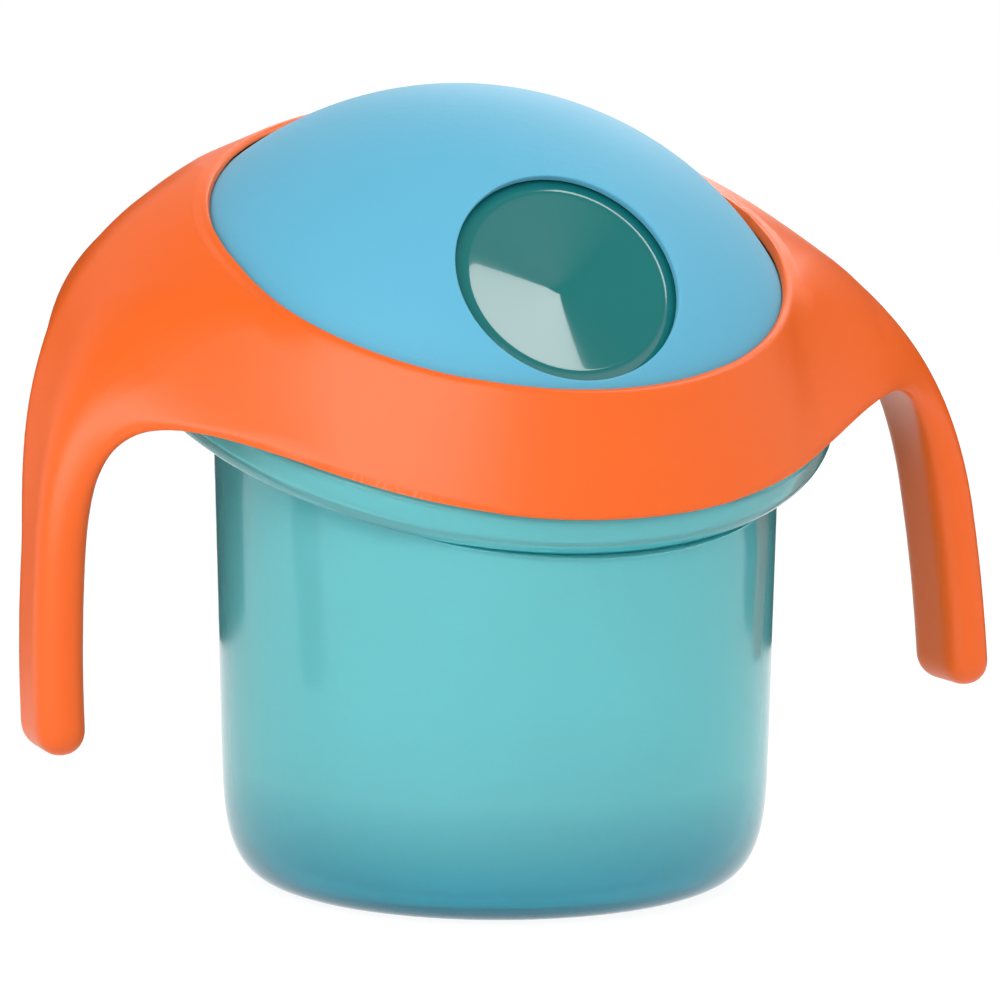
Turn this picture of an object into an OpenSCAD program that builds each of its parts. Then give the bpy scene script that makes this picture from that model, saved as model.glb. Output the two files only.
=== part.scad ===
// Toddler snack container: an upright cup under a tilted head. The head is a collar with
// two handles, a fixed inner lid with a thumb dish and a serving opening, and a dome that
// turns over the lid. Turning the dome half a turn brings its hole over the opening.
// The cup stands on z = 0 with its axis on x = y = 0. The front, where the head leans, is -Y.
// The head frame has its own Z along the tilted axis, and its origin in the dome's opening.

/* [Cup] */
// Outer radius of the wall where it meets the shoulder
cup_r = 45; // [42:0.5:47]
// Height at which the wall has that radius
cup_ref_z = 74; // [66:1:80]
// Outer radius that the drafted wall would have on the floor
base_r = 43.2; // [40:0.2:44]
// Inward run of the base's rounding
base_in = 12.4; // [9:0.2:15]
// Height of the base's rounding
base_up = 21; // [14:1:26]
// Squareness of the base's rounding, where 2 is an ellipse
base_square = 3.3; // [2:0.1:4]
// Wall thickness of the cup
cup_wall = 2; // [1.6:0.1:2.6]
// Thickness of the cup's floor
floor_t = 3; // [2:0.2:5]

/* [Cup shoulder] */
// Slope of the shoulder's underside in the head frame
shoulder_slope = 19.9; // [16:0.5:24]
// Depth of the shoulder's outer corner below the opening
shoulder_drop = 22.1; // [20.5:0.1:24]
// Rounding of the shoulder's outer corner
shoulder_round = 3; // [2:0.5:4]

/* [Collar] */
// Height at which the head's axis crosses the cup's axis, in the dome's opening
head_z = 101.6; // [96:0.5:108]
// Forward lean of the head
head_tilt = 23.4; // [18:0.5:26]
// Radius of the dome where it comes out of the collar
rim_r = 45.4; // [43:0.2:47]
// Radius of the collar's skirt at its lower edge
skirt_r = 60; // [58:0.5:63]
// Depth of the skirt's lower edge below the opening
skirt_drop = 15; // [13.5:0.5:16]
// Thickness of the collar's wall over the cup's neck
collar_wall = 2; // [1.6:0.1:2.4]
// Height of the collar's lip above the opening
lip_h = 0.45; // [0:0.05:1.5]
// Rounding of the lip's crest
lip_round = 1.1; // [0.8:0.1:1.5]

/* [Dome] */
// Outer radius of the dome's sphere
dome_r = 59.3; // [56:0.5:64]
// Wall thickness of the dome
dome_wall = 1.5; // [1.2:0.1:1.8]
// Depth of the dome's edge below the opening
dome_skirt = 6; // [5:0.5:7]
// Radius of the round hole in the dome
hole_r = 18; // [15:0.5:19]
// Angle of the hole and the dish from the head's axis
hole_angle = 31; // [30:0.5:32]
// Turn of the dome and the inner lid from straight ahead, as they stand at rest
head_turn = -4.2; // [-20:0.2:20]

/* [Inner lid] */
// Wall thickness of the inner lid
lid_wall = 1.6; // [1.2:0.1:2]
// Thickness of the inner lid's flange
flange_t = 1.5; // [1.2:0.1:2]
// Radius of the thumb dish
dish_r = 16; // [13:0.5:17]
// Depth of the thumb dish
dish_depth = 3.4; // [3:0.2:5]
// Radius of the serving opening
serve_r = 16.5; // [14:0.5:17.5]

/* [Handles] */
// Reach of the handle's tip beyond the skirt's radius
handle_reach = 18.35; // [15:0.5:24]
// Drop of the handle's tip below the head's height
handle_drop = 74.1; // [64:0.5:80]
// Place of the handle's tip in front of the cup's axis
tip_front = 9.35; // [4:0.5:14]
// Width of the strap
strap_w = 14; // [12:0.5:18]
// Thickness of the strap
strap_t = 7.8; // [7.8:0.2:10]
// Rounding of the handle's tip
tip_round = 4; // [3:0.25:4]
// Length of the straight part of the strap
strap_len = 29.3; // [24:0.5:34]
// Backward lean of the strap in mm for each mm of height
strap_lean = 0.131; // [0:0.01:0.2]
// Inward bow of the strap in mm for each squared mm of height
strap_bow = 0.002; // [0:0.0005:0.003]
// Turn of the strap's front edge outwards
strap_toe = 3.5; // [0:0.5:8]
// Rounding of the strap's edges
strap_edge = 4.2; // [3:0.2:5]

/* [Handle shoulders] */
// Angle from the front where the front lower edge leaves the skirt
front_low_a = 32.5; // [28:1:38]
// Angle from the front where the front upper edge leaves the lip
front_top_a = 53; // [46:1:60]
// Angle from the back where the back upper edge leaves the lip
back_top_a = 18.4; // [14:1:24]
// Angle from the back where the back lower edge leaves the skirt
back_low_a = 29.2; // [24:1:36]
// Rounding that the shoulder's front upper edge gains on its way
front_swell = 9.6; // [6:1:14]
// Rounding that the shoulder's back upper edge gains on its way
back_swell = 18; // [12:1:22]
// Height of the crown on the shoulder's top face
shoulder_crown = 4.1; // [2:0.5:6]
// Place of the crown's top, as a share of the way from the ring to the strap
crown_at = 0.08; // [0.06:0.01:0.12]

/* [Fit] */
// Gap between faces that move past each other
gap = 0.3; // [0.2:0.05:0.4]
// Gap between the seated flange of the inner lid and the cup's rim
seat_gap = 0.1; // [0.05:0.05:0.2]

/* [Hidden] */
$fn = 96;
big = 200;                                          // reaches past every solid

// Spheres of the dome and of the lid under it, about one centre in the head frame
dome_low = sqrt(dome_r * dome_r - rim_r * rim_r);   // depth of the centre below the opening
lid_r = dome_r - dome_wall - gap;

// Heights in the head frame
lid_top = -dome_skirt - gap;                        // top of the inner lid's flange
lid_low = lid_top - flange_t;
rim_top = lid_low - seat_gap;                       // top of the cup's rim

// The collar's wall runs straight from the skirt's edge up to the lip's round crest
bore_r = rim_r + gap;
crest = [bore_r + lip_round, lip_h - lip_round];    // centre of the crest's rounding
edge = [skirt_r, -skirt_drop];
crest_far = norm(crest - edge);
wall_a = atan2(crest.y - edge.y, crest.x - edge.x) - asin(lip_round / crest_far);
crest_from = edge + sqrt(crest_far * crest_far - lip_round * lip_round) * [cos(wall_a), sin(wall_a)];
cone_run = -cos(wall_a) / sin(wall_a);              // the wall's inward run for each mm up
wall_run = collar_wall / sin(wall_a);
function cone_r(w) = skirt_r - (w + skirt_drop) * cone_run;
function inside_r(w) = cone_r(w) - wall_run;

// The cup's shoulder and neck fit inside the collar
skirt_end = -skirt_drop - 1.5;                      // the cup's neck cone starts just under the skirt
shoulder_r = inside_r(skirt_end) - gap;
neck_r = inside_r(rim_top) - gap;
shoulder_cut = (skirt_end - shoulder_drop) / 2;
cup_split = -shoulder_drop - 9;                     // just under the shoulder's foot

// ---------------------------------------------------------------- frames and curves
module head() {
    translate([0, 0, head_z]) rotate([head_tilt, 0, 0]) children();
}

// Moves its children to the dome's centre, and leans them to a spot on its sphere
module on_dome(lean, turn) {
    translate([0, 0, -dome_low]) rotate([0, 0, turn]) rotate([lean, 0, 0]) children();
}

function head_dir(p) = [
    p.x,
    p.y * cos(head_tilt) - p.z * sin(head_tilt),
    p.y * sin(head_tilt) + p.z * cos(head_tilt)
];
function head_pt(p) = head_dir(p) + [0, 0, head_z];

// A point on a ring of the head, and the way the ring runs there; angle 0 is the front
function ring_pt(a, r, w) = head_pt([r * sin(a), -r * cos(a), w]);
function ring_way(a) = head_dir([cos(a), sin(a), 0]);

function unit(v) = v / norm(v);
function bezier(p, q, r, s, t) =
    pow(1 - t, 3) * p + 3 * pow(1 - t, 2) * t * q + 3 * (1 - t) * t * t * r + t * t * t * s;
function ease(t) = t * t * (3 - 2 * t);

// ---------------------------------------------------------------- handles
// Each handle is one loft from inside the collar's wall, over the shoulder, to the tip.
// Four guide curves carry its corners: front low, front top, back top and back low.
sweep_steps = 20;
strap_steps = 5;
tip_steps = 4;
corner_steps = 4;
face_steps = 4;

guide_a = [front_low_a, front_top_a, 180 - back_top_a, 180 - back_low_a];
guide_side = [1, 1, -1, -1];                        // the front pair runs back, the back pair forward
guide_r = [skirt_r - 0.15, crest_from.x - 0.3, crest_from.x - 0.3, skirt_r - 0.15];
guide_w = [0.1 - skirt_drop, lip_h - 0.2, lip_h - 0.2, 0.1 - skirt_drop];
// How far each guide keeps its direction when it leaves the ring and when it meets the strap
guide_out = [31.8, 45.9, 66.7, 60];
guide_in = [31.6, 26.8, 9.6, 18.1];

tip_z = head_z - handle_drop;
strap_top = tip_z + strap_len;
handle_x = skirt_r + handle_reach;
bow_start = tip_z + 2.5;

function strap_mid(z) = [
    handle_x - strap_bow * pow(max(z - bow_start, 0), 2),
    strap_lean * (z - tip_z) - tip_front,
    z
];
out_way = [cos(strap_toe), sin(strap_toe), 0];
front_way = [sin(strap_toe), -cos(strap_toe), 0];
corner_out = [-1, 1, 1, -1];
corner_front = [1, 1, -1, -1];
function strap_pt(i, z, shrink) =
    strap_mid(z)
    + corner_out[i] * (strap_t / 2 - shrink) * out_way
    + corner_front[i] * (strap_w / 2 - shrink) * front_way;

function guide_pt(i, t) =
    let (
        from = ring_pt(guide_a[i], guide_r[i], guide_w[i]),
        leave = guide_side[i] * ring_way(guide_a[i]),
        to = strap_pt(i, strap_top, 0),
        meet = unit(strap_pt(i, strap_top - 1, 0) - to)
    )
    bezier(from, from + guide_out[i] * leave, to - guide_in[i] * meet, to, t);

// The front and back faces start on the collar's round wall, so they bulge there
function bulge(i, j) =
    ring_pt((guide_a[i] + guide_a[j]) / 2, (guide_r[i] + guide_r[j]) / 2, (guide_w[i] + guide_w[j]) / 2)
    - (ring_pt(guide_a[i], guide_r[i], guide_w[i]) + ring_pt(guide_a[j], guide_r[j], guide_w[j])) / 2;
face_bulge = [bulge(0, 1), [0, 0, 0], bulge(2, 3), [0, 0, 0]];
// The top face is crowned, so that it meets the lip all along
function crown(t) = shoulder_crown * t / crown_at * exp(1 - t / crown_at) * (1 - ease(t)) * head_dir([0, 0, 1]);

// Stations along the handle: [the four corners, place on the sweep from 0 to 1]
stations = concat(
    [for (k = [0:sweep_steps - 1])
        let (t = k / sweep_steps)
        [[for (i = [0:3]) guide_pt(i, t)], t]],
    [for (k = [0:strap_steps - 1])
        let (z = strap_top + (tip_z + tip_round - strap_top) * k / strap_steps)
        [[for (i = [0:3]) strap_pt(i, z, 0)], 1]],
    [for (k = [0:tip_steps])
        let (a = 90 * k / tip_steps)
        [[for (i = [0:3])
            strap_pt(i, tip_z + tip_round * (1 - sin(a)), 0.95 * tip_round * (1 - cos(a)))], 1]]
);

// Rounding of each corner: small on the skirt and lip, full on the strap
ring_round = [0.8, 1.5, 1.5, 0.8];
swell = [0, front_swell, back_swell, 0];
function corner_r(i, t) =
    let (e = ease(t))
    ring_round[i] + (strap_edge - ring_round[i]) * e + swell[i] * 4 * e * (1 - e);

function on_face(s, i, u) =
    let (lift = i == 1 ? crown(s[1]) : (1 - ease(s[1])) * face_bulge[i])
    (1 - u) * s[0][i] + u * s[0][(i + 1) % 4] + 4 * u * (1 - u) * lift;

function section(s) =
    let (
        size = [for (i = [0:3]) norm(s[0][(i + 1) % 4] - s[0][i])],
        r = [for (i = [0:3]) min(corner_r(i, s[1]), 0.48 * size[i], 0.48 * size[(i + 3) % 4])]
    )
    [for (i = [0:3])
        let (
            j = (i + 3) % 4,
            from = on_face(s, j, 1 - r[i] / size[j]),
            to = on_face(s, i, r[i] / size[i]),
            u0 = r[i] / size[i],
            u1 = 1 - r[(i + 1) % 4] / size[i]
        )
        each concat(
            [for (k = [0:corner_steps])
                let (u = k / corner_steps)
                pow(1 - u, 2) * from + 2 * u * (1 - u) * s[0][i] + u * u * to],
            [for (k = [1:face_steps - 1]) on_face(s, i, u0 + (u1 - u0) * k / face_steps)]
        )];

module handle() {
    rings = [for (s = stations) section(s)];
    n = len(rings[0]);
    m = len(rings);
    start_mid = n * m;
    end_mid = n * m + 1;
    ones = [for (k = [1:n]) 1];
    points = concat([for (r = rings) each r], [ones * rings[0] / n, ones * rings[m - 1] / n]);
    sides = [
        for (k = [0:m - 2])
            for (j = [0:n - 1])
                let (a = k * n + j, b = k * n + (j + 1) % n)
                each [[a, b, b + n], [a, b + n, a + n]]
    ];
    start = [for (j = [0:n - 1]) [(j + 1) % n, j, start_mid]];
    end = [for (j = [0:n - 1]) [(m - 1) * n + j, (m - 1) * n + (j + 1) % n, end_mid]];
    polyhedron(points, concat(sides, start, end));
}

// ---------------------------------------------------------------- collar
module collar_ring() {
    rotate_extrude() {
        polygon([
            [rim_r - 1, edge.y], edge, crest_from, crest, [rim_r - 1, crest.y]
        ]);
        translate(crest) circle(lip_round);
    }
}

// Room inside the collar: the bore, the dome's sphere, the lid's flange and the cup's neck
module collar_room() {
    rotate_extrude() {
        intersection() {
            translate([0, -dome_low]) circle(dome_r + gap);
            translate([0, lid_top]) square([big, -lid_top]);
        }
        translate([0, lid_top]) square([bore_r, big]);
        polygon([
            [0, lid_top], [inside_r(lid_top), lid_top], [inside_r(skirt_end), skirt_end],
            [inside_r(skirt_end), -big], [0, -big]
        ]);
    }
}

module collar() {
    color([0.98, 0.42, 0.14])
    difference() {
        union() {
            head() collar_ring();
            handle();
            mirror([1, 0, 0]) handle();
        }
        head() collar_room();
    }
}

// ---------------------------------------------------------------- cup
wall_end = head_z + cup_r;                          // above the head's cut, whatever the tilt
function wall_r(z) = base_r + (cup_r - base_r) * z / cup_ref_z;

// Half profile of the upright body, drawn inwards by t with its floor at z
base_steps = 12;
module body_profile(t, z) {
    run = base_in - t;
    rise = base_up - t;
    power = 2 / base_square;
    polygon(concat(
        [for (k = [0:base_steps])
            let (
                a = 90 * k / base_steps,
                h = z + rise * (1 - pow(cos(a), power))
            )
            [wall_r(h) - t - run * (1 - pow(sin(a), power)), h]],
        [[wall_r(wall_end) - t, wall_end], [0, wall_end], [0, z]]
    ));
}

// Half profile of the shoulder and neck in the head frame, drawn inwards by t
module shoulder_profile(t, top) {
    r = shoulder_r - t;
    low = -shoulder_drop + t / cos(shoulder_slope) - t * tan(shoulder_slope);
    round_r = max(shoulder_round - t, 0.6);
    run = round_r * tan(45 - shoulder_slope / 2);   // from the corner to where its arc starts
    polygon([
        [0, low - r * tan(shoulder_slope)],
        [r - run * cos(shoulder_slope), low - run * sin(shoulder_slope)],
        [r - round_r, low + run],
        [r, low + run],
        [r, skirt_end],
        [neck_r - t, rim_top],
        [neck_r - t, top],
        [0, top]
    ]);
    translate([r - round_r, low + run]) circle(round_r);
}

module below(w) {
    head() translate([-big / 2, -big / 2, w - 2 * big]) cube([big, big, 2 * big]);
}

// The cup is one moulding. Its body and its shoulder with the neck are two nodes that meet
// on a plane of the head, so that each stays a simple hollow form.
module cup_moulding() {
    difference() {
        union() {
            intersection() {
                rotate_extrude() body_profile(0, 0);
                below(shoulder_cut);
            }
            head() rotate_extrude() shoulder_profile(0, rim_top);
        }
        intersection() {
            rotate_extrude() body_profile(cup_wall, floor_t);
            below(shoulder_cut);
        }
        head() rotate_extrude() shoulder_profile(cup_wall, rim_top + 1);
    }
}

module cup() {
    color([0.30, 0.72, 0.72, 0.75])
    intersection() {
        cup_moulding();
        below(cup_split);
    }
}

module cup_shoulder() {
    color([0.30, 0.72, 0.72, 0.75])
    difference() {
        cup_moulding();
        below(cup_split);
    }
}

// ---------------------------------------------------------------- dome and inner lid
module dome() {
    color([0.40, 0.68, 0.83])
    head() difference() {
        rotate_extrude() intersection() {
            translate([0, -dome_low]) difference() {
                circle(dome_r);
                circle(dome_r - dome_wall);
            }
            translate([0, -dome_skirt]) square(big);
        }
        on_dome(hole_angle, head_turn) cylinder(h = big, r = hole_r);
    }
}

// The dish is a cone let into the lid's sphere, with a wall of its own under it
dish_top = sqrt(lid_r * lid_r - dish_r * dish_r);
dish_out = dish_r + lid_wall;
dish_under = dish_top - dish_depth - lid_wall / cos(atan(dish_depth / dish_r));
module inner_lid() {
    color([0.10, 0.55, 0.50, 0.8])
    head() difference() {
        union() {
            rotate_extrude() {
                intersection() {
                    translate([0, -dome_low]) difference() {
                        circle(lid_r);
                        circle(lid_r - lid_wall);
                    }
                    translate([0, lid_low]) square(big);
                }
                difference() {
                    polygon([
                        [0, lid_low], [inside_r(lid_low) - gap, lid_low],
                        [inside_r(lid_top) - gap, lid_top], [0, lid_top]
                    ]);
                    translate([0, -dome_low]) circle(lid_r - lid_wall);
                }
            }
            on_dome(hole_angle, head_turn) intersection() {
                rotate_extrude() polygon([
                    [0, dish_under], [dish_out, dish_under + dish_out * dish_depth / dish_r],
                    [dish_out, big], [0, big]
                ]);
                sphere(lid_r);
            }
        }
        on_dome(hole_angle, head_turn) translate([0, 0, dish_top]) rotate_extrude()
            polygon([[0, -dish_depth], [2 * dish_r, dish_depth], [0, dish_depth]]);
        on_dome(hole_angle, head_turn + 180) cylinder(h = big, r = serve_r);
    }
}

cup();
cup_shoulder();
collar();
inner_lid();
dome();
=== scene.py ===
"""Toddler snack container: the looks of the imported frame. Shapes are worked out in millimetres, objects are in metres."""
import math

import bmesh
import bpy
import numpy as np
from mathutils import Matrix, Vector
from mathutils.kdtree import KDTree


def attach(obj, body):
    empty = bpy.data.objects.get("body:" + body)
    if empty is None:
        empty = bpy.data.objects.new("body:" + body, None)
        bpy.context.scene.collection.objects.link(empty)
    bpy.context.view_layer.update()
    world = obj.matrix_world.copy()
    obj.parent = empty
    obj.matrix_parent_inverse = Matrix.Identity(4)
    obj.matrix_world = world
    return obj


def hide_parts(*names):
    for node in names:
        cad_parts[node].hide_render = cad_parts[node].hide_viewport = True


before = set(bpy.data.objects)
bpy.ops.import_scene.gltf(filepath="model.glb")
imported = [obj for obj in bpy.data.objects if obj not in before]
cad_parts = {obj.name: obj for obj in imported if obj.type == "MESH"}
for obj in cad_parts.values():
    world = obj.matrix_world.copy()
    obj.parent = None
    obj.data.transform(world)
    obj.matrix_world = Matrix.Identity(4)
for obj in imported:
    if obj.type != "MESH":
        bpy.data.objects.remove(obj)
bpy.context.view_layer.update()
scene = bpy.context.scene
scene.view_settings.view_transform = "Standard"

# ------------------------------------------------------------------ sizes, as in the part's source
cup_r, cup_ref_z, base_r = 45.0, 74.0, 43.2
base_in, base_up, base_square = 12.4, 21.0, 3.3
cup_wall, floor_t = 2.0, 3.0
shoulder_slope, shoulder_drop, shoulder_round = 19.9, 22.1, 3.0
head_z, head_tilt = 101.6, 23.4
rim_r, skirt_r, skirt_drop, collar_wall = 45.4, 60.0, 15.0, 2.0
lip_h, lip_round = 0.45, 1.1
dome_r, dome_wall, dome_skirt = 59.3, 1.5, 6.0
hole_r, hole_angle, head_turn = 18.0, 31.0, -4.2
lid_wall, flange_t, dish_r, dish_depth, serve_r = 1.6, 1.5, 16.0, 3.4, 16.5
handle_reach, handle_drop, tip_front = 18.35, 74.1, 9.35
strap_w, strap_t, tip_round, strap_len = 14.0, 7.8, 4.0, 29.3
strap_lean, strap_bow, strap_toe, strap_edge = 0.131, 0.002, 3.5, 4.2
gap, seat_gap = 0.3, 0.1

TAU = math.radians(head_tilt)
N = np.array([0.0, -math.sin(TAU), math.cos(TAU)])      # the head's axis
T = np.array([0.0, math.cos(TAU), math.sin(TAU)])       # uphill, toward the back
X = np.array([1.0, 0.0, 0.0])
H = np.array([0.0, 0.0, head_z])

dome_low = math.sqrt(dome_r ** 2 - rim_r ** 2)
lid_r = dome_r - dome_wall - gap
lid_top = -dome_skirt - gap
lid_low = lid_top - flange_t
rim_top = lid_low - seat_gap
bore_r = rim_r + gap
crest = np.array([bore_r + lip_round, lip_h - lip_round])
edge = np.array([skirt_r, -skirt_drop])
crest_far = float(np.linalg.norm(crest - edge))
wall_a = math.atan2(crest[1] - edge[1], crest[0] - edge[0]) - math.asin(lip_round / crest_far)
crest_from = edge + math.sqrt(crest_far ** 2 - lip_round ** 2) * np.array([math.cos(wall_a), math.sin(wall_a)])
cone_run = -math.cos(wall_a) / math.sin(wall_a)
wall_run = collar_wall / math.sin(wall_a)
skirt_end = -skirt_drop - 1.5


def cone_r(w):
    return skirt_r - (w + skirt_drop) * cone_run


def inside_r(w):
    return cone_r(w) - wall_run


shoulder_r = inside_r(skirt_end) - gap
neck_r = inside_r(rim_top) - gap


def wall_r(z):
    return base_r + (cup_r - base_r) * z / cup_ref_z


def head_pt(u, v, w):
    return H + np.multiply.outer(u, X) + np.multiply.outer(v, T) + np.multiply.outer(w, N)


def polar(a, r, w):
    """Points of the head frame; angle 0 is the front, in radians."""
    a, r, w = np.broadcast_arrays(a, r, w)
    return head_pt(r * np.sin(a), -r * np.cos(a), w)


# ------------------------------------------------------------------ mesh helpers
def new_object(name, verts, faces, scale=0.001):
    me = bpy.data.meshes.new(name)
    me.from_pydata((np.asarray(verts, float) * scale).tolist(), [], [list(map(int, f)) for f in faces])
    me.validate()
    bm = bmesh.new()
    bm.from_mesh(me)
    bmesh.ops.recalc_face_normals(bm, faces=bm.faces)
    bm.to_mesh(me)
    bm.free()
    ob = bpy.data.objects.new(name, me)
    scene.collection.objects.link(ob)
    return ob


def shell(name, rows, closed=False, start_pole=None, end_pole=None):
    """Rows of points round a form, rows[k] is a ring. Ends close on a pole, or the rows close on themselves."""
    rows = np.asarray(rows, float)
    m, n = rows.shape[:2]
    verts = rows.reshape(-1, 3)
    faces = []
    for k in range(m if closed else m - 1):
        a = k * n + np.arange(n)
        b = ((k + 1) % m) * n + np.arange(n)
        faces += list(zip(a, np.roll(a, -1), np.roll(b, -1), b))
    extra = []
    for pole, k in ((start_pole, 0), (end_pole, m - 1)):
        if pole is not None:
            i = len(verts) + len(extra)
            extra.append(pole)
            a = k * n + np.arange(n)
            faces += list(zip(a, np.roll(a, -1), [i] * n))
    if extra:
        verts = np.vstack([verts, extra])
    return new_object(name, verts, faces)


def smooth(ob, angle=None):
    """Smooth shading, with edges sharper than the angle kept."""
    me = ob.data
    me.shade_smooth()
    if angle is not None:
        bm = bmesh.new()
        bm.from_mesh(me)
        for e in bm.edges:
            if len(e.link_faces) == 2 and e.calc_face_angle(0) > math.radians(angle):
                e.smooth = False
        bm.to_mesh(me)
        bm.free()
    return ob


def boolean(ob, other, op):
    mod = ob.modifiers.new("cut", "BOOLEAN")
    mod.operation = op
    mod.object = other
    mod.solver = "MANIFOLD"
    apply_modifiers(ob)
    bpy.data.objects.remove(other, do_unlink=True)
    return ob


def apply_modifiers(ob):
    deps = bpy.context.evaluated_depsgraph_get()
    me = bpy.data.meshes.new_from_object(ob.evaluated_get(deps))
    old = ob.data
    ob.modifiers.clear()
    ob.data = me
    bpy.data.meshes.remove(old)
    return ob


def coords(me):
    co = np.zeros(len(me.vertices) * 3)
    me.vertices.foreach_get("co", co)
    return co.reshape(-1, 3)


def bez3(a, b, c, k):
    """Quadratic rounding from a to c round the corner b, k steps, both ends kept."""
    u = np.linspace(0, 1, k + 1).reshape((-1,) + (1,) * np.ndim(a))
    return (1 - u) ** 2 * a + 2 * u * (1 - u) * b + u * u * c


def revolve_head(name, profile, n=256, closed=True):
    """A profile of (R, w) points turned about the head's axis."""
    a = np.linspace(0, 2 * math.pi, n, endpoint=False)
    rows = np.array([polar(a, r, w) for r, w in profile])
    return shell(name, rows, closed=closed)


# ------------------------------------------------------------------ cup
def make_cup(n=288):
    a = np.linspace(0, 2 * math.pi, n, endpoint=False)
    slope = math.tan(math.radians(shoulder_slope))

    def side(t, z0):
        """Rows from the pole of the floor up to the crease and out along the shoulder's underside."""
        r = shoulder_r - t
        low = -shoulder_drop + (t / math.cos(math.radians(shoulder_slope)) - t * slope if t else 0.0)
        rnd = max(shoulder_round - t, 0.6)
        run = rnd * math.tan(math.radians(45 - shoulder_slope / 2))

        def cone(rr):
            return polar(a, rr, low - (r - rr) * slope)

        lo, hi = np.full(n, 25.0), np.full(n, r)
        for _ in range(40):
            mid = (lo + hi) / 2
            p = cone(mid)
            out = np.hypot(p[:, 0], p[:, 1]) > wall_r(p[:, 2]) - t
            hi = np.where(out, mid, hi)
            lo = np.where(out, lo, mid)
        rc = (lo + hi) / 2
        c = cone(rc)
        phi = np.arctan2(c[:, 0], -c[:, 1])

        def wall(z, rr):
            z, rr = np.broadcast_arrays(z, rr, phi)[:2]
            return np.stack([rr * np.sin(phi), -rr * np.cos(phi), z], -1)

        rows = []
        for rr in (8, 16, 22, 26, 28.5):
            rows.append(wall(z0, rr))
        rise, inr, power = base_up - t, base_in - t, 2 / base_square
        for k in range(17):
            g = math.radians(90 * k / 16)
            h = z0 + rise * (1 - math.cos(g) ** power)
            rows.append(wall(h, wall_r(h) - t - inr * (1 - math.sin(g) ** power)))
        zb = z0 + rise
        f = 1.1 if t == 0 else 0.7
        top = c[:, 2] - f
        for k in range(1, 9):
            z = zb + (top - zb) * k / 8
            rows.append(wall(z, wall_r(z) - t))
        far = cone(rc + f)
        rows += list(bez3(rows[-1], c, far, 5)[1:])
        for k in range(1, 6):
            rows.append(cone(rc + f + (r - run * math.cos(math.radians(shoulder_slope)) - rc - f) * k / 5))
        for k in range(1, 9):
            g = math.radians(-(90 - shoulder_slope) * (1 - k / 8))
            rows.append(polar(a, r - rnd + rnd * math.cos(g), low + run + rnd * math.sin(g)))
        return rows, r

    outer, r = side(0.0, 0.0)
    rows = list(outer)
    p0, p1 = np.array([r, skirt_end]), np.array([neck_r, rim_top])
    d = (p1 - p0) / np.linalg.norm(p1 - p0)
    prof = [p0 + [0, -1.0]]
    prof += list(bez3(p0 + [0, -0.6], p0, p0 + d * 0.6, 4))
    prof += [p0 + (p1 - p0) * k for k in (0.3, 0.6, 0.85)]
    prof += list(bez3(p1 - d * 0.5, p1, p1 + [-0.4, 0], 4))
    q0, q1 = np.array([neck_r - cup_wall, rim_top]), np.array([r - cup_wall, skirt_end])
    e = (q1 - q0) / np.linalg.norm(q1 - q0)
    prof += list(bez3(q0 + [0.4, 0], q0, q0 + e * 0.5, 4))
    prof += [q0 + (q1 - q0) * k for k in (0.3, 0.6, 0.9, 1.0)]
    rows += [polar(a, p[0], p[1]) for p in prof]
    inner, _ = side(cup_wall, floor_t)
    rows += inner[::-1]
    return shell("cup_body", rows, start_pole=[0, 0, 0], end_pole=[0, 0, floor_t])


# ------------------------------------------------------------------ dome
def axis_frame(turn):
    """Axis through the hole, and two directions square to it, in the world."""
    l, t = math.radians(hole_angle), math.radians(turn)
    d = math.cos(l) * N + math.sin(l) * (-math.cos(t) * T + math.sin(t) * X)
    e1 = np.cross(d, X)
    e1 /= np.linalg.norm(e1)
    return d, e1, np.cross(d, e1)


CENTRE = H - dome_low * N


def make_dome(n=240):
    d, e1, e2 = axis_frame(head_turn)
    psi = np.linspace(0, 2 * math.pi, n, endpoint=False)
    t = np.cos(psi)[:, None] * e1 + np.sin(psi)[:, None] * e2

    def on(radius, al):
        al = np.broadcast_to(al, psi.shape)
        return CENTRE + radius * (np.cos(al)[:, None] * d + np.sin(al)[:, None] * t)

    def far(radius, w):
        """Angle from the hole's axis at which each great circle comes to height w."""
        c = (w + dome_low) / radius
        A, B = d @ N, t @ N
        return np.arctan2(B, A) + np.arccos(c / np.hypot(A, B))

    ro, ri = dome_r - 0.02, dome_r - dome_wall  # the solid is faceted, and its top lies that much lower
    ho, hi = math.asin(hole_r / ro), math.asin(hole_r / ri)
    b = 0.45
    rows = list(bez3(CENTRE + math.sqrt(ro ** 2 - hole_r ** 2) * d - b * d + hole_r * t, on(ro, ho), on(ro, ho + b / ro), 5))
    fo, fi = far(ro, -dome_skirt + 0.3), far(ri, -dome_skirt + 0.3)
    for k in range(1, 41):
        s = (k / 40) ** 0.9
        rows.append(on(ro, ho + b / ro + (fo - ho - b / ro) * s))
    go, gi = far(ro, -dome_skirt), far(ri, -dome_skirt)
    po, pi = on(ro, go), on(ri, gi)
    m = (po + pi) / 2
    rows += list(bez3(rows[-1], po, m, 3)[1:])
    rows += list(bez3(m, pi, on(ri, fi), 3)[1:])
    for k in range(1, 21):
        rows.append(on(ri, fi + (hi + b / ri - fi) * k / 20))
    rows += list(bez3(on(ri, hi + b / ri), on(ri, hi), CENTRE + (math.sqrt(ri ** 2 - hole_r ** 2) + b) * d + hole_r * t, 3)[1:])
    return shell("dome_shell", rows, closed=True)


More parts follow.
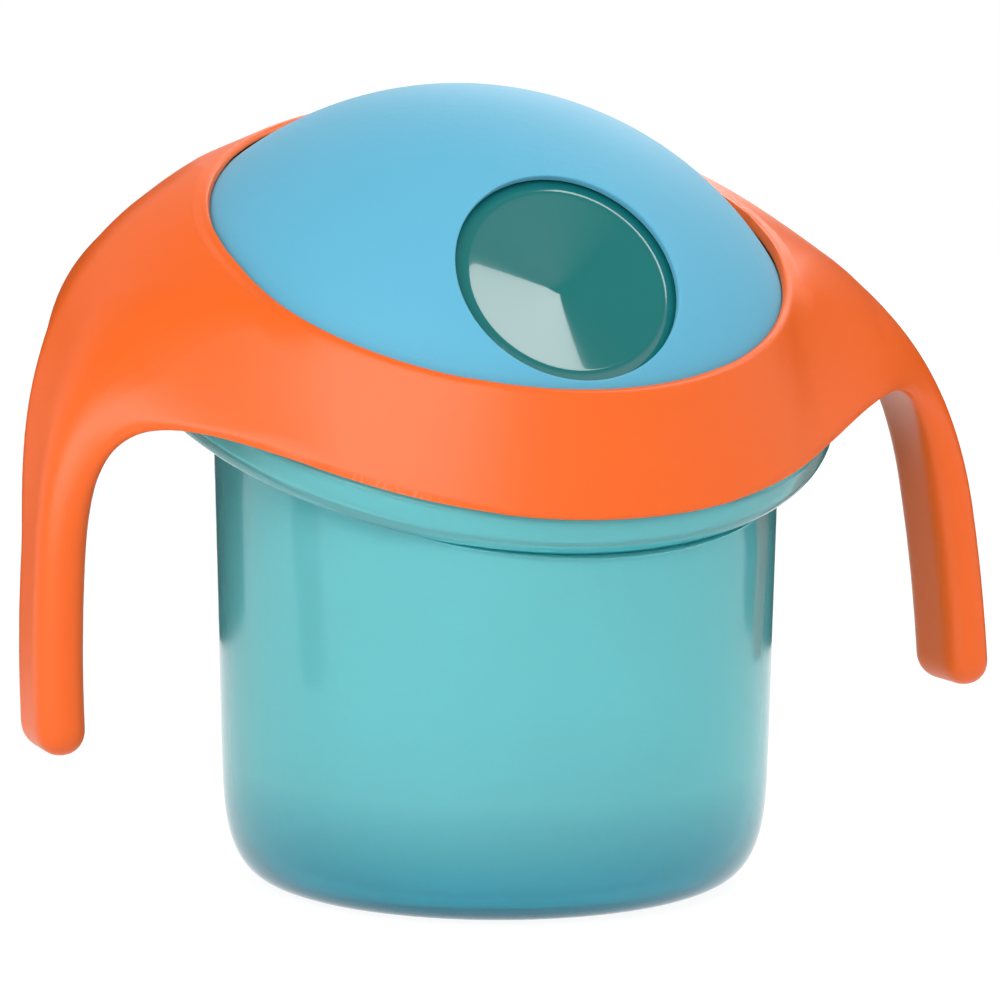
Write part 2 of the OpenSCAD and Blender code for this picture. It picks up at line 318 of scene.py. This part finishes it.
# ------------------------------------------------------------------ inner lid
def make_lid():
    n = 256
    ri = lid_r - lid_wall

    def arc(radius, w0, w1, k):
        a0, a1 = math.acos((w0 + dome_low) / radius), math.acos(min(1, (w1 + dome_low) / radius))
        return [(radius * math.sin(g), radius * math.cos(g) - dome_low) for g in np.linspace(a0, a1, k)]

    top_o, top_i = lid_r - dome_low, ri - dome_low
    outer = arc(lid_r, lid_top, top_o, 44)[:-1]
    inner = arc(ri, lid_low, top_i, 44)[:-1]
    fo, fl = inside_r(lid_top) - gap, inside_r(lid_low) - gap
    prof = outer[::-1] + [(fo, lid_top), (fl, lid_low)] + inner
    a = np.linspace(0, 2 * math.pi, n, endpoint=False)
    rows = [polar(a, r, w) for r, w in prof]
    lid = shell("lid_shell", rows, start_pole=H + top_o * N, end_pole=H + top_i * N)
    d, e1, e2 = axis_frame(head_turn)
    t = np.cos(a)[:, None] * e1 + np.sin(a)[:, None] * e2
    dish_top = math.sqrt(lid_r ** 2 - dish_r ** 2)

    def spin(name, pts, p0, p1):
        return shell(name, [CENTRE + h * d + r * t for r, h in pts], start_pole=CENTRE + p0 * d, end_pole=CENTRE + p1 * d)

    R = dish_r + lid_wall
    slope = dish_depth / dish_r
    under = dish_top - dish_depth - lid_wall / math.cos(math.atan(slope))
    cap = [(lid_r * math.sin(g) - 0.02, lid_r * math.cos(g) - 0.02) for g in np.linspace(0.02, math.asin(R / lid_r), 14)]
    low = [(r, under + slope * r) for r in np.linspace(R, 1.5, 12)]
    plug = spin("plug", cap + low, lid_r - 0.02, under + slope * 0.8)
    boolean(lid, plug, "UNION")
    # the dish: a cone with a soft middle and a rounded rim
    pts = [(r, dish_top - dish_depth + slope * r) for r in np.linspace(1.2, dish_r - 0.6, 16)]
    sph = [(lid_r * math.sin(g), lid_r * math.cos(g)) for g in (math.asin((dish_r + 0.6) / lid_r),)][0]
    pts += [tuple(p) for p in bez3(np.array(pts[-1]), np.array([dish_r, dish_top]), np.array(sph), 6)[1:]]
    pts += [(dish_r + 1.2, lid_r + 2.0)]
    cut = spin("cut", pts, dish_top - dish_depth + slope * 0.6, lid_r + 2.0)
    boolean(lid, cut, "DIFFERENCE")
    d2, f1, f2 = axis_frame(head_turn + 180)
    t2 = np.cos(a)[:, None] * f1 + np.sin(a)[:, None] * f2
    hole = shell("hole", [CENTRE + h * d2 + serve_r * t2 for h in (30, 50, 70)], start_pole=CENTRE + 30 * d2, end_pole=CENTRE + 70 * d2)
    boolean(lid, hole, "DIFFERENCE")
    return lid


# ------------------------------------------------------------------ collar with handles
guide_a = np.radians([32.5, 53.0, 180 - 18.4, 180 - 29.2])
guide_r = [skirt_r - 0.15, crest_from[0] - 0.3, crest_from[0] - 0.3, skirt_r - 0.15]
guide_w = [0.1 - skirt_drop, lip_h - 0.2, lip_h - 0.2, 0.1 - skirt_drop]
guide_out = [31.8, 45.9, 66.7, 60.0]
guide_in = [31.6, 26.8, 9.6, 18.1]
guide_side = [1, 1, -1, -1]
front_swell, back_swell = 9.6, 18.0
shoulder_crown, crown_at = 4.1, 0.08
tip_z = head_z - handle_drop
strap_top = tip_z + strap_len
handle_x = skirt_r + handle_reach


def strap_pts(z, shrink=0.0):
    c = np.array([handle_x - strap_bow * max(z - tip_z - 2.5, 0) ** 2, strap_lean * (z - tip_z) - tip_front, z])
    f = math.radians(strap_toe)
    o, w = np.array([math.cos(f), math.sin(f), 0]), np.array([math.sin(f), -math.cos(f), 0])
    a, b = strap_t / 2 - shrink, strap_w / 2 - shrink
    return [c - a * o + b * w, c + a * o + b * w, c + a * o - b * w, c - a * o - b * w]


def ring_pt(i):
    return polar(guide_a[i], guide_r[i], guide_w[i])


def ring_way(a):
    return math.cos(a) * X + math.sin(a) * T


def ease(t):
    return t * t * (3 - 2 * t)


def bulge(i, j):
    m = polar((guide_a[i] + guide_a[j]) / 2, (guide_r[i] + guide_r[j]) / 2, (guide_w[i] + guide_w[j]) / 2)
    return m - (ring_pt(i) + ring_pt(j)) / 2


def section(c, t, corner_steps=7, face_steps=8):
    e = ease(t)
    crown = shoulder_crown * t / crown_at * math.exp(1 - t / crown_at) * (1 - e)
    lift = [(1 - e) * bulge(0, 1), crown * N, (1 - e) * bulge(2, 3), 0 * X]

    def on_face(i, u):
        return (1 - u) * c[i] + u * c[(i + 1) % 4] + 4 * u * (1 - u) * lift[i]

    size = [np.linalg.norm(c[(i + 1) % 4] - c[i]) for i in range(4)]
    start = [0.8, 1.5, 1.5, 0.8]
    swell = [0, front_swell, back_swell, 0]
    r = [min(start[i] + (strap_edge - start[i]) * e + swell[i] * 4 * e * (1 - e), 0.48 * size[i], 0.48 * size[i - 1]) for i in range(4)]
    pts = []
    for i in range(4):
        j = (i + 3) % 4
        u0, u1 = r[i] / size[i], 1 - r[(i + 1) % 4] / size[i]
        pts += list(bez3(on_face(j, 1 - r[i] / size[j]), c[i], on_face(i, u0), corner_steps))
        pts += [on_face(i, u0 + (u1 - u0) * k / face_steps) for k in range(1, face_steps)]
    return pts


def guide_pt(i, t):
    """A point on one of the handle's four guide curves."""
    p0, p3, q = ring_pt(i), strap_pts(strap_top)[i], strap_pts(strap_top - 1)[i]
    lead = guide_side[i] * ring_way(guide_a[i])
    meet = (q - p3) / np.linalg.norm(q - p3)
    return (1 - t) ** 3 * p0 + 3 * (1 - t) ** 2 * t * (p0 + guide_out[i] * lead) \
        + 3 * (1 - t) * t * t * (p3 - guide_in[i] * meet) + t ** 3 * p3


def make_handle(name, side):
    rows = []
    sweep = 48
    for k in range(sweep):
        rows.append(section([guide_pt(i, k / sweep) for i in range(4)], k / sweep))
    for k in range(12):
        rows.append(section(strap_pts(strap_top + (tip_z + tip_round - strap_top) * k / 12), 1.0))
    for k in range(9):
        g = math.radians(90 * k / 8)
        rows.append(section(strap_pts(tip_z + tip_round * (1 - math.sin(g)), 0.95 * tip_round * (1 - math.cos(g))), 1.0))
    rows = np.array(rows)
    if side < 0:
        rows[..., 0] *= -1
    return shell(name, rows, start_pole=rows[0].mean(0), end_pole=rows[-1].mean(0))


def room_profile():
    """The collar's inside, from its bore down past everything."""
    cr = dome_r + gap
    k = 24
    w0 = math.sqrt(cr ** 2 - bore_r ** 2) - dome_low
    ws = np.linspace(w0, lid_top, k)
    return [(bore_r, 12.0), (bore_r, w0 + 1.0)] + [(math.sqrt(cr ** 2 - (w + dome_low) ** 2), w) for w in ws] + \
        [(max(inside_r(lid_top), math.sqrt(cr ** 2 - (lid_top + dome_low) ** 2)), lid_top), (inside_r(skirt_end), skirt_end), (inside_r(skirt_end), -120.0)]


def make_room(name="room", n=256):
    """The room cut out of the handles. Its top opens out a little, as the lip does between the shoulders."""
    a = np.linspace(0, 2 * math.pi, n, endpoint=False)
    prof = room_profile()
    prof = [(bore_r + 0.18 * (12 - crest[1]), 12.0), (bore_r, crest[1])] + prof[2:]
    rows = [polar(a, r, w) for r, w in prof]
    return shell(name, rows, start_pole=H + prof[0][1] * N, end_pole=H + prof[-1][1] * N)


def ring_profile(edge_round=0.4, step=0.06):
    """Fine samples of the ring's section as it shows: points, outward normals, and 1 where the section is round."""
    nA = np.array([math.sin(wall_a), -math.cos(wall_a)])
    tA = np.array([math.cos(wall_a), math.sin(wall_a)])
    pts, nrm, rnd = [], [], []

    def arc(c, r, g0, g1):
        k = max(2, int(abs(g1 - g0) * r / step))
        for g in np.linspace(g0, g1, k + 1):
            n = np.array([math.cos(g), math.sin(g)])
            pts.append(c + r * n)
            nrm.append(n)
            rnd.append(1.0)

    def line(p, q, n):
        k = max(2, int(np.linalg.norm(q - p) / step))
        for u in np.linspace(0, 1, k + 1):
            pts.append(p + (q - p) * u)
            nrm.append(n)
            rnd.append(0.0)

    gA = wall_a - math.pi / 2
    down = np.array([0.0, -1.0])
    inner = np.array([inside_r(-skirt_drop), -skirt_drop])
    turn = math.pi / 2 + gA                                  # from straight down to the wall's normal
    c1 = edge + edge_round * (np.array([-1.0, 0.0]) * math.tan(turn / 2)) + [0, edge_round]
    small = 0.3
    c2 = inner + small * np.array([math.tan((math.pi - turn) / 2), 0.0]) + [0, small]
    line(np.array([bore_r, crest[1] - 0.6]), np.array([bore_r, crest[1]]), np.array([-1.0, 0.0]))
    arc(crest, lip_round, math.pi, gA)
    line(crest_from, c1 + edge_round * nA, nA)
    arc(c1, edge_round, gA, -math.pi / 2)
    line(c1 + edge_round * down, c2 + small * down, down)
    arc(c2, small, -math.pi / 2, gA - math.pi)
    line(c2 - small * nA, np.array([inside_r(-7.0), -7.0]), -nA)
    return np.array(pts), np.array(nrm), np.array(rnd)


def neighbours(me):
    e = np.zeros(len(me.edges) * 2, int)
    me.edges.foreach_get("vertices", e)
    return e.reshape(-1, 2)


def average(p, e, deg):
    n = len(p)
    s = np.zeros_like(p)
    for ax in range(p.shape[1]):
        s[:, ax] = np.bincount(e[:, 0], weights=p[e[:, 1], ax], minlength=n) \
            + np.bincount(e[:, 1], weights=p[e[:, 0], ax], minlength=n)
    return s / deg


def ring_frame(p):
    q = p - H
    w = q @ N
    rad = q - np.outer(w, N)
    R = np.linalg.norm(rad, axis=1)
    return R, w, rad / np.maximum(R, 1e-6)[:, None]


def to_ring(p, full, none):
    """Distance to the ring's section for each point, and the points drawn onto it where they are near."""
    pts, nrm, rnd = ring_profile()
    R, w, out = ring_frame(p)
    q = np.stack([R, w], -1)
    near = (R < skirt_r + 4) & (R > bore_r - 2) & (w > -skirt_drop - 4) & (w < 6)
    idx = np.where(near)[0]
    d = np.full(len(p), 99.0)
    move = np.zeros_like(p)
    for part in np.array_split(idx, max(1, len(idx) // 20000)):
        x = q[part]
        k = ((x ** 2).sum(1)[:, None] - 2 * x @ pts.T + (pts ** 2).sum(1)).argmin(1)
        v = x - pts[k]
        dist = (v * nrm[k]).sum(1)
        side = np.abs(v[:, 0] * nrm[k, 1] - v[:, 1] * nrm[k, 0])
        dist = np.where(side > 0.5, 99.0, dist)
        d[part] = dist
        wide = 1 + 1.6 * rnd[k]                          # smoothing took more off the round places
        h = 1 - np.clip((np.abs(dist) - full * wide) / ((none - full) * wide), 0, 1)
        move[part] = -(h * np.where(h > 0, dist, 0))[:, None] \
            * (nrm[k, :1] * out[part] + nrm[k, 1:] * N)
    return d, p + move


def even_out(p, along=1.8, across=0.3, rounds=3):
    """Evens the lip and the skirt's edge out along the ring, where the shoulders meet them."""
    for _ in range(rounds):
        q = p - H
        u, v, w = q @ X, q @ T, q @ N
        R, a = np.hypot(u, v), np.arctan2(u, -v)
        lip = np.clip(bore_r + 3.5 - R, 0, 1) * np.clip(w + 4, 0, 1)
        low = np.clip(3 - np.abs(w + skirt_drop), 0, 1) * np.clip(5 - np.abs(R - skirt_r), 0, 1)
        turn = np.degrees(np.abs(a))
        m = np.maximum(lip, low) * np.clip((turn - 26) / 3, 0, 1) * np.clip((168 - turn) / 3, 0, 1)
        near = np.where(((R < bore_r + 5) & (w > -6)) | ((np.abs(w + skirt_drop) < 4.5) & (np.abs(R - skirt_r) < 6.5)))[0]
        place = np.stack([R * a / along, R / across, w / across], -1)
        tree = KDTree(len(near))
        for i in near:
            tree.insert(place[i], int(i))
        tree.balance()
        new = p.copy()
        for i in np.where(m > 0)[0]:
            hits = tree.find_range(place[i], 2.4)
            j = [h[1] for h in hits]
            g = np.exp([-h[2] ** 2 / 2 for h in hits])
            g /= g.sum()
            r1, w1 = g @ R[j], g @ w[j]
            r1, w1 = R[i] + m[i] * (r1 - R[i]), w[i] + m[i] * (w1 - w[i])
            new[i] = H + r1 * (math.sin(a[i]) * X - math.cos(a[i]) * T) + w1 * N
        p = new
    return p


def even_along(p, curve, along=2.2, across=0.3, reach=3.0, rounds=3):
    """Evens an edge out along a curve that runs close to it."""
    step = np.linalg.norm(np.diff(curve, axis=0), axis=1)
    length = np.concatenate([[0], np.cumsum(step)])
    t = np.gradient(curve, axis=0)
    t /= np.linalg.norm(t, axis=1)[:, None]
    n1 = N - (t @ N)[:, None] * t
    n1 /= np.linalg.norm(n1, axis=1)[:, None]
    n2 = np.cross(t, n1)
    line = KDTree(len(curve))
    for i, c in enumerate(curve):
        line.insert(c, i)
    line.balance()
    for _ in range(rounds):
        box = ((p > curve.min(0) - reach - 3) & (p < curve.max(0) + reach + 3)).all(1)
        near, place, frame_of = [], [], []
        for i in np.where(box)[0]:
            _co, k, dist = line.find(p[i])
            if dist < reach + 2:
                o = p[i] - curve[k]
                near.append(i)
                frame_of.append((k, length[k] + o @ t[k], o @ n1[k], o @ n2[k], dist))
        f = np.array(frame_of)
        place = f[:, 1:4] / [along, across, across]
        tree = KDTree(len(near))
        for i, c in enumerate(place):
            tree.insert(c, i)
        tree.balance()
        new = p.copy()
        for i, v in enumerate(near):
            k, s, a, b, dist = f[i]
            m = min(1, max(0, reach - dist)) * min(1, max(0, s / 4)) * min(1, max(0, (length[-1] - s) / 6))
            if m <= 0:
                continue
            hits = tree.find_range(place[i], 2.4)
            j = [h[1] for h in hits]
            g = np.exp([-h[2] ** 2 / 2 for h in hits])
            g /= g.sum()
            k = int(k)
            new[v] = p[v] + m * ((g @ f[j, 2] - a) * n1[k] + (g @ f[j, 3] - b) * n2[k])
        p = new
    return p


def low_edges():
    """The shoulders' lower edges: along the skirt first, then out over the guide curve."""
    for i in (0, 3):
        lead = np.radians(np.linspace(14, 0, 120)) * -guide_side[i] + guide_a[i]
        ring = polar(lead, guide_r[i], guide_w[i])[:-1]
        out = np.array([guide_pt(i, t) for t in np.linspace(0, 0.8, 700)])
        for side in (1, -1):
            yield np.vstack([ring, out]) * [side, 1, 1]


def make_collar(voxel=0.5):
    # the ring's own section, closed
    prof = [tuple(crest + lip_round * np.array([math.cos(g), math.sin(g)])) for g in np.linspace(math.pi, wall_a - math.pi / 2, 12)]
    prof += [tuple(crest_from + (edge - crest_from) * k) for k in np.linspace(0, 1, 10)[1:]]
    inner = [p for p in room_profile()[2:-1]]
    inner = [p for p in inner if p[1] > -skirt_drop]
    prof += [(inside_r(-skirt_drop), -skirt_drop)] + inner[::-1]
    ring = revolve_head("collar_ring", prof, 320)
    for name, side in (("handle_right", 1), ("handle_left", -1)):
        h = make_handle(name, side)
        boolean(h, make_room(), "DIFFERENCE")
        boolean(ring, h, "UNION")
    ring.name = "collar_shell"
    mod = ring.modifiers.new("skin", "REMESH")
    mod.mode = "VOXEL"
    mod.voxel_size = voxel * 0.001
    mod.adaptivity = 0.0
    apply_modifiers(ring)
    relax(ring, voxel)
    return ring


def relax(ob, voxel):
    """Takes the voxel steps out, draws the bare ring back onto its true section, and blends the shoulders in."""
    me = ob.data
    p = coords(me) * 1000
    e = neighbours(me)
    deg = np.bincount(e.ravel(), minlength=len(p))[:, None].astype(float)
    for k in range(16):
        p = p + (0.55 if k % 2 == 0 else -0.57) * (average(p, e, deg) - p)
    d, p = to_ring(p, 0.15, 0.4)
    # the seam between ring and shoulder, on the outside only
    R, w, out = ring_frame(p)
    own = (np.abs(d) < 0.15).astype(float)
    mixed = average(own[:, None], e, deg)[:, 0]
    seam = ((mixed > 0.02) & (mixed < 0.98)).astype(float)
    outside = (R > cone_r(w) - 0.8) & (w > -skirt_drop + 0.2)
    seam = seam * outside
    reach = int(8.0 / voxel)
    for _ in range(reach):
        far = np.maximum(seam[e[:, 0]], seam[e[:, 1]]) - 1.0 / reach
        np.maximum.at(seam, e[:, 0], far)
        np.maximum.at(seam, e[:, 1], far)
    near_lip = np.hypot(R - crest[0], w - crest[1]) - lip_round
    keep = np.clip((w + skirt_drop - 0.5) / 1.5, 0, 1) * np.clip((R - crest[0] - 0.2) / 1.5, 0, 1)
    m = np.clip(seam * 1.6, 0, 1) * keep * outside
    m = (m * m * (3 - 2 * m))[:, None]
    for k in range(120):
        p = p + 0.6 * m * (average(p, e, deg) - p)
    p = even_out(p)
    for curve in low_edges():
        p = even_along(p, curve)
    me.vertices.foreach_set("co", (p / 1000).ravel())
    me.update()


# ------------------------------------------------------------------ materials
def material(name):
    mat = bpy.data.materials.new(name)
    mat.use_nodes = True
    nt = mat.node_tree
    b = nt.nodes["Principled BSDF"]
    return mat, nt, b


def put(b, **kw):
    for k, v in kw.items():
        s = b.inputs[k.replace("_", " ")]
        s.default_value = (*v, 1) if s.type == "RGBA" else v


def grain(nt, b, scale, strength, distance, colour=None, spread=0.03, socket="Normal"):
    """Fine moulded grain: a bump, and a small drift of colour."""
    tc = nt.nodes.new("ShaderNodeTexCoord")
    no = nt.nodes.new("ShaderNodeTexNoise")
    no.inputs["Scale"].default_value = scale
    no.inputs["Detail"].default_value = 3
    no.inputs["Roughness"].default_value = 0.6
    nt.links.new(tc.outputs["Object"], no.inputs["Vector"])
    bp = nt.nodes.new("ShaderNodeBump")
    bp.inputs["Strength"].default_value = strength
    bp.inputs["Distance"].default_value = distance
    nt.links.new(no.outputs["Fac"], bp.inputs["Height"])
    nt.links.new(bp.outputs["Normal"], b.inputs[socket])
    if colour is not None:
        n2 = nt.nodes.new("ShaderNodeTexNoise")
        n2.inputs["Scale"].default_value = 22
        n2.inputs["Detail"].default_value = 2
        nt.links.new(tc.outputs["Object"], n2.inputs["Vector"])
        rp = nt.nodes.new("ShaderNodeValToRGB")
        c0, c1 = rp.color_ramp.elements
        c0.position, c1.position = 0.35, 0.65
        c0.color = (*[v * (1 - spread) for v in colour], 1)
        c1.color = (*[min(1, v * (1 + spread)) for v in colour], 1)
        nt.links.new(n2.outputs["Fac"], rp.inputs["Fac"])
        nt.links.new(rp.outputs["Color"], b.inputs["Base Color"])
    return tc


def srgb(r, g, b):
    def f(v):
        v /= 255
        return v / 12.92 if v <= 0.04045 else ((v + 0.055) / 1.055) ** 2.4
    return (f(r), f(g), f(b))


def absorb(nt, colour, density):
    """Colour that light picks up on its way through the wall."""
    v = nt.nodes.new("ShaderNodeVolumeAbsorption")
    v.inputs["Color"].default_value = (*colour, 1)
    v.inputs["Density"].default_value = density
    nt.links.new(v.outputs["Volume"], nt.nodes["Material Output"].inputs["Volume"])


m_dome, nt, b = material("soft_blue_plastic")
put(b, Roughness=0.6, Specular_IOR_Level=0.3, Sheen_Weight=0.15, Sheen_Roughness=0.5)
grain(nt, b, 900, 0.25, 0.0002, srgb(96, 182, 214), 0.02)

m_collar, nt, b = material("orange_plastic")
put(b, Roughness=0.38, Specular_IOR_Level=0.5, Subsurface_Weight=0.12, Subsurface_Radius=(1.0, 0.4, 0.15), Subsurface_Scale=0.003)
grain(nt, b, 1400, 0.12, 0.0001, srgb(252, 104, 18), 0.015)

m_cup, nt, b = material("teal_translucent_plastic")
put(b, Roughness=0.12, Transmission_Weight=0.6, IOR=1.45)
tc = grain(nt, b, 300, 0.03, 0.0001, (0.29, 0.9, 0.93), 0.02)
# painted shade: the base colour is darkened towards the bottom of the cup, over the rounded base
sep = nt.nodes.new("ShaderNodeSeparateXYZ")
nt.links.new(tc.outputs["Object"], sep.inputs[0])
rise = nt.nodes.new("ShaderNodeMapRange")
rise.inputs["From Min"].default_value, rise.inputs["From Max"].default_value = 0.002, 0.020
nt.links.new(sep.outputs["Z"], rise.inputs["Value"])
# painted shade colour, multiplied into the base colour low on the cup
painted_base_shade = nt.nodes.new("ShaderNodeValToRGB")
painted_base_shade.color_ramp.elements[0].color = (0.08, 0.55, 0.7, 1)
painted_base_shade.color_ramp.elements[1].color = (1, 1, 1, 1)
nt.links.new(rise.outputs["Result"], painted_base_shade.inputs["Fac"])
mul = nt.nodes.new("ShaderNodeMix")
mul.data_type, mul.blend_type = "RGBA", "MULTIPLY"
mul.inputs["Factor"].default_value = 1
nt.links.new(b.inputs["Base Color"].links[0].from_socket, mul.inputs["A"])
nt.links.new(painted_base_shade.outputs["Color"], mul.inputs["B"])
nt.links.new(mul.outputs["Result"], b.inputs["Base Color"])
absorb(nt, (0.1, 0.7, 0.76), 150)

m_lid, nt, b = material("green_translucent_plastic")
put(b, Roughness=0.12, Transmission_Weight=0.1, IOR=1.5, Coat_Weight=1.0, Coat_Roughness=0.03)
grain(nt, b, 200, 0.02, 0.0001, srgb(14, 122, 120), 0.03)


# ------------------------------------------------------------------ build
def dress(ob, mat, body, *nodes):
    ob.data.materials.clear()
    ob.data.materials.append(mat)
    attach(ob, body)
    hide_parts(*nodes)
    return ob


dress(smooth(make_cup(), 50), m_cup, "cup", "cup", "cup_shoulder")
dress(smooth(make_dome(), 60), m_dome, "dome", "dome")
dress(smooth(make_lid(), 30), m_lid, "head", "inner_lid")
dress(smooth(make_collar(), 60), m_collar, "head", "collar")

# ------------------------------------------------------------------ camera
A, E, ROLL = math.radians(-24.58), math.radians(8.37), math.radians(0.28)
back = Vector((math.sin(A) * math.cos(E), -math.cos(A) * math.cos(E), math.sin(E)))
right = Vector((math.cos(A), math.sin(A), 0))
up = back.cross(right)
r = math.cos(ROLL) * right + math.sin(ROLL) * up
u = -math.sin(ROLL) * right + math.cos(ROLL) * up
cam = bpy.data.cameras.new("view")
cam_ob = bpy.data.objects.new("view", cam)
scene.collection.objects.link(cam_ob)
m = Matrix((r, u, back)).transposed().to_4x4()
m.translation = Vector((0, 0, 0.06)) + back * 0.9
cam_ob.matrix_world = m
cam.sensor_width = 36
cam.lens = 5655.28 * 36 / 1000
cam.shift_x = 0.00381
cam.shift_y = 0.00417
cam.clip_start = 0.05
scene.camera = cam_ob

# ------------------------------------------------------------------ floor, light
world = bpy.data.worlds.new("studio")
scene.world = world
world.use_nodes = True
nt = world.node_tree
bg = nt.nodes["Background"]
bg.inputs["Color"].default_value = (1, 1, 1, 1)
bg.inputs["Strength"].default_value = 0.42
bg2 = nt.nodes.new("ShaderNodeBackground")
bg2.inputs["Strength"].default_value = 1.0
# the backdrop is white round the horizon, and the studio's ceiling over it is grey
tc = nt.nodes.new("ShaderNodeTexCoord")
sep = nt.nodes.new("ShaderNodeSeparateXYZ")
nt.links.new(tc.outputs["Generated"], sep.inputs[0])
sky = nt.nodes.new("ShaderNodeValToRGB")
sky.color_ramp.elements[0].position, sky.color_ramp.elements[1].position = 0.45, 0.75
sky.color_ramp.elements[0].color = (1, 1, 1, 1)
sky.color_ramp.elements[1].color = (0.22, 0.22, 0.22, 1)
nt.links.new(sep.outputs["Z"], sky.inputs["Fac"])
nt.links.new(sky.outputs["Color"], bg2.inputs["Color"])


def seen(nt):
    """1 for rays that look at the background: from the camera, in a gloss and through clear plastic."""
    lp = nt.nodes.new("ShaderNodeLightPath")
    total = lp.outputs["Is Camera Ray"]
    for ray in ("Is Glossy Ray", "Is Transmission Ray"):
        add = nt.nodes.new("ShaderNodeMath")
        add.operation = "ADD"
        add.use_clamp = True
        nt.links.new(total, add.inputs[0])
        nt.links.new(lp.outputs[ray], add.inputs[1])
        total = add.outputs[0]
    return total


mix = nt.nodes.new("ShaderNodeMixShader")
nt.links.new(seen(nt), mix.inputs["Fac"])
nt.links.new(bg.outputs[0], mix.inputs[1])
nt.links.new(bg2.outputs[0], mix.inputs[2])
nt.links.new(mix.outputs[0], nt.nodes["World Output"].inputs["Surface"])

bpy.ops.mesh.primitive_plane_add(size=6, location=(0, 0, -0.0003))
floor = bpy.context.object
floor.name = "floor"
mf, nt, b = material("paper_floor")
put(b, Base_Color=(0.86, 0.86, 0.86), Roughness=0.8, Specular_IOR_Level=0.1)
em = nt.nodes.new("ShaderNodeEmission")
em.inputs["Color"].default_value = (1, 1, 1, 1)
em.inputs["Strength"].default_value = 1.16
mu = nt.nodes.new("ShaderNodeMath")
mu.operation = "MULTIPLY"
mu.inputs[1].default_value = 0.8
nt.links.new(seen(nt), mu.inputs[0])
mx = nt.nodes.new("ShaderNodeMixShader")
nt.links.new(mu.outputs[0], mx.inputs["Fac"])
nt.links.new(b.outputs[0], mx.inputs[1])
nt.links.new(em.outputs[0], mx.inputs[2])
nt.links.new(mx.outputs[0], nt.nodes["Material Output"].inputs["Surface"])
floor.data.materials.append(mf)


def card(name, a, b, top):
    """A dark card that stands on the floor. Only gloss and clear plastic show it."""
    verts = [(a[0], a[1], 0), (b[0], b[1], 0), (b[0], b[1], top), (a[0], a[1], top)]
    ob = new_object(name, verts, [(0, 1, 2, 3)])
    m, nt, bs = material(name + "_black")
    put(bs, Base_Color=(0.015, 0.015, 0.015), Roughness=0.9, Specular_IOR_Level=0.1)
    ob.data.materials.append(m)
    ob.visible_camera = ob.visible_diffuse = ob.visible_shadow = False


def beside(x, depth):
    """A place on the floor by how far to the right of the cup it is and how far behind it, in mm."""
    v = right * x - Vector((math.sin(A), -math.cos(A), 0)) * depth
    return (v.x, v.y)


card("card_left", beside(-86, 215), beside(-230, 120), 200)
card("card_right", beside(80, 215), beside(235, 110), 200)


def lamp(name, loc, aim, size, power, colour=(1, 1, 1), shape=None):
    l = bpy.data.lights.new(name, "AREA")
    l.energy = power
    l.color = colour
    l.shape = "RECTANGLE" if shape else "SQUARE"
    l.size = size
    if shape:
        l.size_y = shape
    o = bpy.data.objects.new(name, l)
    o.location = loc
    o.rotation_euler = (Vector(aim) - Vector(loc)).to_track_quat("-Z", "Y").to_euler()
    scene.collection.objects.link(o)
    return o


lamp("key", (-0.62, -0.60, 0.62), (0, 0, 0.07), 1.2, 7.0, shape=0.5)
lamp("top", (0.30, -0.08, 0.5), (0, -0.03, 0.1), 0.24, 0.75)
lamp("back", (0.45, 0.6, 0.5), (0, 0, 0.1), 0.5, 2.2)
